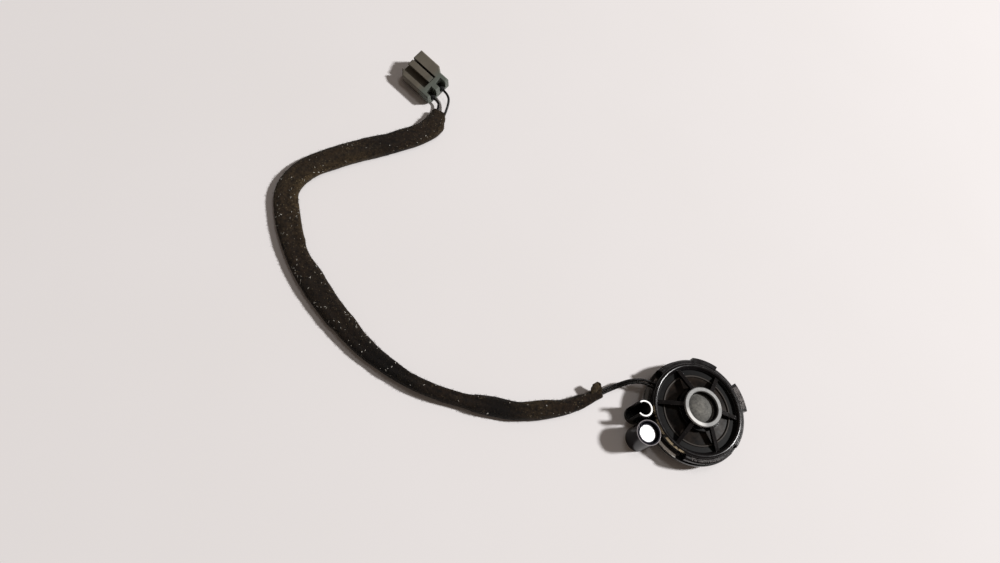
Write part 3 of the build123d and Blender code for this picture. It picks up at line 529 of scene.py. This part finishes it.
def woven_dome(name):
    """Coated grey dome cloth: fine weave, scattered dust, and paler towards its crown."""
    material, tree, coords = new_material(name)
    place = add(tree, "SeparateXYZ", {0: coords})
    turns = 2 * math.pi / (WEAVE_PITCH * MM)
    along = maths(tree, "SINE", maths(tree, "MULTIPLY", place.outputs["X"], turns))
    across = maths(tree, "SINE", maths(tree, "MULTIPLY", place.outputs["Y"], turns))
    weave = maths(tree, "MULTIPLY", along, across)
    mottle = remap(tree, cloud(tree, coords, 1.6, 6.0, 0.65), 0.35, 0.7)
    tone = mixed(tree, mottle, srgb("#2f2f2f"), srgb("#565552"))
    crown = remap(tree, distance_from(tree, coords, *CROWN_CENTRE), *metres(CROWN_REACH))
    tone = mixed(tree, maths(tree, "MULTIPLY", crown, mottle), tone, srgb("#7d7b74"))
    threads = maths(tree, "MULTIPLY", remap(tree, weave, -0.4, 0.6), 0.35)
    tone = mixed(tree, threads, tone, srgb("#8d8b84"))
    dust = remap(tree, cloud(tree, coords, 0.5, 4.0, 0.7), 0.55, 0.75, 0.0, 0.5)
    tone = mixed(tree, dust, tone, srgb("#98958c"))
    normal = bumped(tree, weave, 0.04)
    inputs = {"Base Color": tone, "Roughness": 0.75, "Normal": normal, "Sheen Weight": 0.1}
    close_material(tree, inputs)
    return material


def fleece(name):
    """Black-brown fleece tape: matted fibres, brown wear with a painted brown highlight along one
    edge, pale fibre ends and painted shade at its folds.
    """
    material, tree, coords = new_material(name)
    # The wear attribute also carries a painted brown highlight along the loom's inner edge.
    wear = add(tree, "Attribute", attribute_name="wear").outputs["Fac"]
    fibres = cloud(tree, coords, 0.35, 5.0, 0.75)
    tufts = cloud(tree, coords, 1.6, 4.0, 0.6)
    tone = mixed(tree, remap(tree, tufts, 0.35, 0.68), srgb("#0c0807"), srgb("#241912"))
    worn = mixed(tree, remap(tree, fibres, 0.35, 0.65), srgb("#261d12"), srgb("#52442e"))
    tone = mixed(tree, maths(tree, "MULTIPLY", wear, remap(tree, tufts, 0.25, 0.6)), tone, worn)
    dots = add(tree, "TexVoronoi", {"Vector": coords, "Scale": 1 / (SPECK_PITCH * MM)})
    near = remap(tree, dots.outputs["Distance"], 0.40, 0.20)
    kept = add(tree, "SeparateColor", {0: dots.outputs["Color"]}).outputs[0]
    clumped = remap(tree, cloud(tree, coords, 5.0, 3.0), 0.38, 0.62, 0.15, 1.0)
    speck = maths(tree, "MULTIPLY", near, remap(tree, kept, 0.70, 1.0, 0.0, 0.75))
    tone = mixed(tree, maths(tree, "MULTIPLY", speck, clumped), tone, srgb("#8e8062"))
    # Painted shade at the folds, darkening the fleece towards black.
    fold_shadow = add(tree, "Attribute", attribute_name="fold_shadow").outputs["Fac"]
    tone = mixed(tree, fold_shadow, tone, srgb("#070505"))
    height = maths(tree, "ADD", fibres, maths(tree, "MULTIPLY", tufts, 0.7))
    normal = bumped(tree, height, 0.28)
    inputs = {"Base Color": tone, "Roughness": 0.95, "Normal": normal}
    inputs |= {"Sheen Weight": 0.06, "Sheen Roughness": 0.6, "Specular IOR Level": 0.1}
    close_material(tree, inputs)
    return material


def lint(name, dark, light):
    """Loose fibres, each in its own shade."""
    material, tree, coords = new_material(name)
    shade = add(tree, "Attribute", attribute_name="shade").outputs["Fac"]
    tone = mixed(tree, shade, srgb(dark), srgb(light))
    darker = mixed(tree, 0.4, tone, srgb("#000000"))
    tone = mixed(tree, cloud(tree, coords, 0.6, 2.0), tone, darker)
    close_material(tree, {"Base Color": tone, "Roughness": 0.9, "Specular IOR Level": 0.2})
    return material


def scuffed_plug(tree, coords, colour):
    """Front end handled to a warmer grey than the rear."""
    along = add(tree, "VectorMath", {0: coords, 1: PLUG_AXIS}, operation="DOT_PRODUCT")
    rear = remap(tree, along.outputs["Value"], *metres(PLUG_FADE))
    return mixed(tree, rear, colour, srgb("#626861"))


def wire_jacket(name):
    """Smooth black wire jacket with faint scuffs."""
    material, tree, coords = new_material(name)
    scuff = remap(tree, cloud(tree, coords, 1.2, 4.0), 0.5, 0.8)
    tone = mixed(tree, scuff, srgb("#0b0b0c"), srgb("#1d1b1a"))
    sheen = remap(tree, scuff, 0.0, 1.0, 0.26, 0.45)
    close_material(tree, {"Base Color": tone, "Roughness": sheen})
    return material


def plain_rubber(name, colour):
    """Matt rubber or foam with a fine grain."""
    material, tree, coords = new_material(name)
    normal = bumped(tree, cloud(tree, coords, 0.2, 3.0), 0.02)
    tone = mixed(tree, cloud(tree, coords, 1.5, 3.0), srgb(colour), srgb("#000000"))
    close_material(tree, {"Base Color": tone, "Roughness": 0.8, "Normal": normal})
    return material


def make_materials():
    """Every finish by the record's slot name."""
    return {
        # moulded black shell: smooth enough for small sharp glints, dust specked, with painted
        # shade in its corners
        "housing_plastic": moulded_plastic(
            "black_moulded_shell", "#0c0c0d", "#151415", 0.20,
            dust=0.2, marks=shell_marks_and_highlights, gloss=0.25,
        ),
        # moulded rim and spokes: the same sheen, cleaner, so its beads catch thin highlights
        "bezel_plastic": moulded_plastic(
            "black_satin_bezel", "#0f0e10", "#191718", 0.21, dust=0.12, marks=rim_glint_line
        ),
        # grey metallic lacquer: a broad dull shine, chipped dark in places, with a painted
        # highlight and painted shade round the ring
        "ring_metal": satin_metal(
            "silver_trim_ring", "#868685", 0.40, 1.6,
            metallic=0.35, worn="#1c1c1c", marks=ring_painted_light,
        ),
        # coated cloth: no shine, a weave too fine to count
        "dome_cloth": woven_dome("woven_dome_cloth"),
        # polyimide film, warm and half glossy
        "former_film": moulded_plastic("amber_film", "#6b4a1f", "#7d5826", 0.4),
        "copper": satin_metal("enamelled_copper", "#b86a3c", 0.3),
        "edge_rubber": plain_rubber("surround_rubber", "#141414"),
        "felt": plain_rubber("grey_felt", "#2b2b2b"),
        # bright zinc and nickel plating over steel and magnet
        "motor_steel": satin_metal("zinc_plated_steel", "#8d8f92", 0.35),
        "magnet_nickel": satin_metal("nickel_plate", "#a19d94", 0.25),
        # pressed paper laminate, dull
        "board_laminate": moulded_plastic("brown_laminate", "#6e4f2a", "#7d5c33", 0.5),
        "terminal_brass": satin_metal("tinned_brass", "#c9bd92", 0.3),
        # rolled spring steel: a painted highlight on the rim round painted shade inside
        "spring_steel": clip_steel_painted_light("spring_steel_painted_light"),
        # drawn aluminium can end, near white where the lamp strikes it
        "can_aluminium": satin_metal("drawn_aluminium", "#f2f2f4", 0.32, 1.5),
        # shrink film: glossy, blue-black
        "sleeve_film": moulded_plastic("dark_shrink_film", "#0c0d1c", "#12132a", 0.22, grain=0.1),
        "bung_rubber": plain_rubber("bung_rubber", "#1a1a1a"),
        "winding_foil": moulded_plastic("foil_and_paper", "#9a9488", "#a89f90", 0.6),
        # extruded vinyl, shiny with dull scuffs
        "wire_jacket": wire_jacket("black_wire_jacket"),
        # needled fleece tape: no shine at all, specked with pale fibre ends
        "loom_fleece": fleece("fleece_tape"),
        # moulded connector plastic: satin olive-grey with paler rubbed edges
        "plug_plastic": moulded_plastic(
            "warm_grey_plug", "#605b51", "#6d675c", 0.46,
            dust=0.15, wear="#8f8b82", marks=scuffed_plug,
        ),
        "lock_plastic": moulded_plastic("brown_lock", "#3f2514", "#553018", 0.5),
        "seal_rubber": plain_rubber("seal_rubber", "#1b1b1d"),
    }


def pip_plastic_painted_highlight():
    """Pip plastic painted pale grey, a painted highlight for the glints on the pips, paler still
    on rubbed edges.
    """
    return moulded_plastic("pip_plastic_painted_highlight", "#4a4647", "#a19b9a", 0.4, wear="#c9c3bf")


def paint_cad_nodes(materials):
    """Give every CAD node the finish of its slot, and the dish behind the spokes its own."""
    for subpart in frame["record"]["subparts"]:
        node = frame["nodes"][subpart["node"]]
        node.data.materials.clear()
        node.data.materials.append(materials[subpart["material_slot"]])
    # The dish's near-black base colour is painted shade for the deep ring outside the bead.
    dish = moulded_plastic(
        "dish_plastic_dust_and_painted_shade", "#060606", "#0b0a0b", 0.40, dust=0.05, marks=dish_dust_and_painted_light, gloss=0.07
    )
    frame["nodes"]["front_plate"].data.materials[0] = dish


# ---- loom ----
LOOM_AROUND = 56
LOOM_STEP = 0.8
LOOM_THICK = [(0.0, 4.6), (0.4, 4.4), (0.6, 5.0), (0.7, 5.6), (0.8, 5.2), (0.9, 5.0), (1.0, 4.2)]
LOOM_LAPS = [0.02, 0.12, 0.27, 0.42, 0.55, 0.69, 0.79, 0.885, 0.955]
LAP_STEP = 0.28
LAP_FADE = 0.09
# Height and frequency, along the loom, of its bunches and of its smaller wrinkles.
BUNCHES = (0.32, 42)
WRINKLES = (0.10, 150)
# How square the band's sides and its top and bottom are: 1 is round, and less is squarer.
SIDE_SQUARENESS = 0.62
TOP_SQUARENESS = 0.72
GROOVE_DEPTH = 0.35
# Place and width, as shares of the loom's length, and strength of its worn patches and of the
# painted shade at its folds.
WORN_PATCHES = [
    (0.02, 0.05, 0.5),
    (0.19, 0.06, 0.7),
    (0.31, 0.07, 1.1),
    (0.45, 0.1, 0.3),
    (0.89, 0.035, 0.7),
]
SHADED_FOLDS = [(0.65, 0.07, 1.0), (0.83, 0.035, 0.9), (0.13, 0.03, 0.5), (0.50, 0.05, 0.4)]


def between(stations, share, column=1):
    """Value in a column of listed stations, eased between them, at a share of the length."""
    for low, high in zip(stations, stations[1:]):
        if share <= high[0]:
            part = (share - low[0]) / (high[0] - low[0])
            part = part * part * (3 - 2 * part)
            return low[column] + (high[column] - low[column]) * part
    return stations[-1][column]


def resample(line, step):
    """Evenly spaced points along a line, with their shares of its length."""
    lengths = [0.0]
    for before, after in zip(line, line[1:]):
        lengths.append(lengths[-1] + (after - before).length)
    count = round(lengths[-1] / step)
    shares = np.linspace(0.0, 1.0, count + 1)
    wanted = shares * lengths[-1]
    flat = [np.interp(wanted, lengths, [point[axis] for point in line]) for axis in range(3)]
    return [Vector(point) for point in zip(*flat)], list(shares)


def lap(share):
    """Height of the tape's overlap at a share of the length: a step up that fades away."""
    height = 0.0
    for start in LOOM_LAPS:
        if start <= share < start + LAP_FADE:
            height = LAP_STEP * (1 - (share - start) / LAP_FADE)
    return height


def loom_ring(centre, side, share):
    """One cross-section of the flat bundle."""
    inner = between(LOOM_SIDES, share, 1)
    outer = between(LOOM_SIDES, share, 2)
    half = between(LOOM_THICK, share) / 2
    middle = (inner - outer) / 2
    reach = (inner + outer) / 2 + lap(share) * 0.5
    ring = []
    for index in range(LOOM_AROUND):
        turn = 2 * math.pi * index / LOOM_AROUND
        x, z = math.cos(turn), math.sin(turn)
        across = math.copysign(abs(x) ** SIDE_SQUARENESS, x) * reach
        rise = math.copysign(abs(z) ** TOP_SQUARENESS, z) * (half + lap(share) * 0.5)
        wave = noise.noise(Vector((share * BUNCHES[1], across * 0.35, z * 1.3))) * BUNCHES[0]
        fine = Vector((share * WRINKLES[1], across * 0.9, z * 2.0 + 9))
        wave += noise.noise(fine) * WRINKLES[0]
        if z > 0:
            groove = 1.2 * math.sin(share * 19)
            rise += wave * z
            rise -= GROOVE_DEPTH * math.exp(-((across - groove) / 1.1) ** 2)
        across += wave * 0.7 * x
        height = max(half + 0.15 + rise, 0.12)
        spot = centre + side * (middle + across) * MM
        ring.append((spot.x, spot.y, height * MM))
    return ring


def around_loom(index):
    """Angle of a vertex round the band, with 0 on its inner side."""
    return 2 * math.pi * (index % LOOM_AROUND) / LOOM_AROUND


def patches_at(patches, share):
    """Strength of a list of patches at a share of the length."""
    spread = [depth * math.exp(-((share - place) / width) ** 2) for place, width, depth in patches]
    return sum(spread)


def wear_and_highlight_at(share, index):
    """How far the fleece has faded to brown, most on its inner side, plus a painted brown
    highlight along the inner edge.
    """
    inner = max(0.0, math.cos(around_loom(index)))
    # Painted highlight: a brown band on the inner edge at about 0.62 of the length.
    edge = 0.9 * inner ** 4 * math.exp(-((share - 0.62) / 0.07) ** 2)
    return min(1.0, patches_at(WORN_PATCHES, share) * (0.3 + 0.7 * inner) + edge + 0.10)


def fold_shadow_at(share, index):
    """Painted shade: how dark the fleece is painted where the band folds."""
    middle = 0.5 + 0.5 * math.cos(around_loom(index) - 2.2)
    return min(0.9, patches_at(SHADED_FOLDS, share) * (0.35 + 0.65 * middle))


def make_loom(material):
    """Fleece band round the two wires, pinched and bunched along its length."""
    route = [(x, y, LOOM_HEIGHT) for x, y in LOOM_ROUTE]
    line, shares = resample(smooth_route(route), LOOM_STEP * MM)
    vertices = []
    for index, (centre, share) in enumerate(zip(line, shares)):
        before, after = line[max(index - 1, 0)], line[min(index + 1, len(line) - 1)]
        forward = (after - before).normalized()
        side = Vector((-forward.y, forward.x, 0)).normalized()
        vertices += loom_ring(centre, side, share)
    faces = []
    for index in range(len(line) - 1):
        start = index * LOOM_AROUND
        for around in range(LOOM_AROUND):
            after = (around + 1) % LOOM_AROUND
            near, far = start + around, start + after
            faces.append((near, far, far + LOOM_AROUND, near + LOOM_AROUND))
    faces.append(tuple(reversed(range(LOOM_AROUND))))
    last = (len(line) - 1) * LOOM_AROUND
    faces.append(tuple(range(last, last + LOOM_AROUND)))
    loom = mesh_piece("loom_band", vertices, faces)
    for name, value_at in (("wear", wear_and_highlight_at), ("fold_shadow", fold_shadow_at)):
        values = [value_at(shares[index // LOOM_AROUND], index) for index in range(len(vertices))]
        loom.data.attributes.new(name, "FLOAT", "POINT").data.foreach_set("value", values)
    loom.data.materials.append(material)
    return loom, line


# ---- loose fibres on the loom ----
FIBRE_COUNT = 4600
FIBRE_SEED = 11
LINT_COUNT = 190
LINT_SEED = 12
# Share of the loom's length, then how much of the pale lint stays there.
LINT_SPREAD = [(0.0, 0.5), (0.25, 0.35), (0.36, 1.0), (0.6, 0.9), (0.7, 0.25), (1.0, 0.4)]
FIBRE_LIFT = 0.05
FIBRE_THICK = 0.03
UPPER_FACE = 0.3


def ribbon(spot, heading_to, lift_to, length, width, bend):
    """Flat curved thread that tapers: its pairs of vertices from root to tip."""
    across = heading_to.cross(lift_to).normalized() * (width / 2)
    vertices = []
    for step in range(4):
        part = step / 3
        lift = bend * math.sin(math.pi * 0.6 * part)
        middle = spot + heading_to * (length * part) + lift_to * lift
        taper = 1.0 - 0.6 * part
        vertices += [middle - across * taper, middle + across * taper]
    return vertices


def thread_mesh(name, threads, shades, material):
    """One mesh of many threads, with a shade attribute."""
    vertices, faces, tones = [], [], []
    for thread, shade in zip(threads, shades):
        start = len(vertices)
        vertices += [tuple(vertex) for vertex in thread]
        tones += [shade] * len(thread)
        for step in range(len(thread) // 2 - 1):
            near = start + 2 * step
            faces.append((near, near + 1, near + 3, near + 2))
    made = mesh_piece(name, vertices, faces)
    made.data.attributes.new("shade", "FLOAT", "POINT").data.foreach_set("value", tones)
    solid = made.modifiers.new("thickness", "SOLIDIFY")
    solid.thickness = FIBRE_THICK * MM
    made.data.materials.append(material)
    return made


def scatter(loom, count, seed, length, width, bend, where=None):
    """Threads that stand on the upper side of the loom's mesh."""
    draw = random.Random(seed)
    mesh = loom.data
    quads = [face for face in mesh.polygons if len(face.vertices) == 4]
    upper = [face for face in quads if face.normal.z > UPPER_FACE]
    threads, shades = [], []
    while len(threads) < count:
        face = draw.choice(upper)
        share = (face.index // LOOM_AROUND) / (len(mesh.polygons) / LOOM_AROUND)
        if where and draw.random() > between(where, share):
            continue
        turn = draw.uniform(0, 2 * math.pi)
        flat = Vector((math.cos(turn), math.sin(turn), draw.uniform(-0.2, 0.5)))
        along = (flat - face.normal * flat.dot(face.normal) * 0.6).normalized()
        spot = face.center + face.normal * (FIBRE_LIFT * MM)
        size = draw.uniform(*length) * MM
        across = draw.uniform(*width) * MM
        threads.append(ribbon(spot, along, face.normal, size, across, bend * size))
        shades.append(draw.random() ** 2)
    return threads, shades


def make_fuzz(loom):
    """Short dark fibres and scattered pale lint on the fleece."""
    fuzz_threads = scatter(loom, FIBRE_COUNT, FIBRE_SEED, (0.3, 0.9), (0.05, 0.12), 0.35)
    fuzz = thread_mesh("fleece_fibres", *fuzz_threads, lint("fleece_fibre", "#110d0b", "#4a402f"))
    lint_look = (0.25, 1.1), (0.14, 0.42), 0.25, LINT_SPREAD
    lint_threads = scatter(loom, LINT_COUNT, LINT_SEED, *lint_look)
    specks = thread_mesh("pale_lint", *lint_threads, lint("pale_lint_fibre", "#8f8a80", "#e6e3dc"))
    return [fuzz, specks]


# ---- loose end of the tape ----
TAB_FOOT = (-47.7, 6.0, 3.4)
TAB_WIDTH = 5.6
TAB_RISE = 3.4
TAB_LEAN = (-0.7, 4.6)
TAB_TURN = 10.0
TAB_THICK = 0.7
TAB_WEAR = 0.9


def make_tab(material):
    """Crumpled end of the tape, leaning out beside the wires."""
    made = bmesh.new()
    bmesh.ops.create_grid(made, x_segments=14, y_segments=18, size=0.5)
    turn = math.radians(TAB_TURN)
    across = Vector((math.cos(turn), math.sin(turn), 0))
    lean = Vector((*TAB_LEAN, 0))
    facing = lean.normalized() * 0.75 + Vector((0, 0, -0.6))
    for vertex in made.verts:
        u, v = vertex.co.x * 2, vertex.co.y + 0.5
        narrow = 1.0 - 0.30 * max(0.0, v - 0.55) / 0.45
        crumple = noise.noise(Vector((u * 1.6, v * 3.4, 4.0))) * 0.8
        crumple += 0.45 * math.sin(u * 2.8) * v
        round_off = 1.0 - 0.12 * u * u * v
        spot = Vector(TAB_FOOT) + across * (u * TAB_WIDTH / 2 * narrow)
        spot += lean * (v * round_off) + facing * crumple
        spot.z += v * TAB_RISE * round_off
        vertex.co = spot * MM
    mesh = bpy.data.meshes.new("tape_end")
    made.to_mesh(mesh)
    made.free()
    mesh.shade_smooth()
    wear = mesh.attributes.new("wear", "FLOAT", "POINT")
    wear.data.foreach_set("value", [TAB_WEAR] * len(mesh.vertices))
    mesh.materials.append(material)
    tab = link(mesh, "tape_end")
    solid = tab.modifiers.new("thickness", "SOLIDIFY")
    solid.thickness = TAB_THICK * MM
    solid.offset = 0.0
    return tab


# ---- raised pips on the rim ----
PIP_RADIUS = 0.28
PIP_SEED = 5
PIP_MISSING = 0.12
# Inner and outer radius, first and last angle, rows, pips to a row, height of the surface.
PIP_FIELDS = [(23.7, 26.2, 5.5, 31.0, 6, 26, 10.5), (23.3, 24.1, -104.0, -69.0, 2, 24, 10.5)]


def make_pips(material):
    """Plain raised pips moulded in two patches of the rim."""
    draw = random.Random(PIP_SEED)
    made = bmesh.new()
    for inner, outer, first, last, rows, count, top in PIP_FIELDS:
        for row in range(rows):
            radius = inner + (outer - inner) * row / (rows - 1)
            for index in range(count):
                if draw.random() < PIP_MISSING:
                    continue
                turn = math.radians(first + (last - first) * (index + 0.5 * (row % 2)) / count)
                spot = Vector((radius * math.cos(turn), radius * math.sin(turn), top)) * MM
                place = Matrix.Translation(spot) @ Matrix.Rotation(turn, 4, "Z")
                place @= Matrix.Diagonal((draw.uniform(0.8, 1.2), 1.0, 0.7, 1.0))
                bmesh.ops.create_icosphere(
                    made, subdivisions=1, radius=PIP_RADIUS * MM, matrix=place
                )
    mesh = bpy.data.meshes.new("rim_pips")
    made.to_mesh(mesh)
    made.free()
    mesh.shade_smooth()
    mesh.materials.append(material)
    return link(mesh, "rim_pips")


# ---- wires ----
def make_wire(name, points, material):
    """Round jacketed wire along its route."""
    made = nurbs_curve(name + "_jacket", points, 24)
    made.data.bevel_depth = WIRE_RADIUS * MM
    made.data.bevel_resolution = 6
    made.data.use_fill_caps = True
    made.data.materials.append(material)
    return made


def make_cords(materials):
    """Loom, its loose fibres, wires and tape end, which ride with the tweeter in place of the
    CAD's loom, wires and tape end.
    """
    loom, line = make_loom(materials["loom_fleece"])
    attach(loom, TWEETER)
    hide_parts("loom_wrap")
    for thread in make_fuzz(loom):
        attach(thread, TWEETER)
    for name, points in WIRE_ROUTES.items():
        wire = make_wire(name, points, materials["wire_jacket"])
        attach(wire, TWEETER)
        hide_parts(name)
    tab = make_tab(materials["loom_fleece"])
    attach(tab, TWEETER)
    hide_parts("tape_tab")


def make_details():
    """Raised pips, which ride with the tweeter."""
    pips = make_pips(pip_plastic_painted_highlight())
    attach(pips, TWEETER)


make_camera()
finishes = make_materials()
paint_cad_nodes(finishes)
make_cords(finishes)
make_details()
make_floor()
make_light()
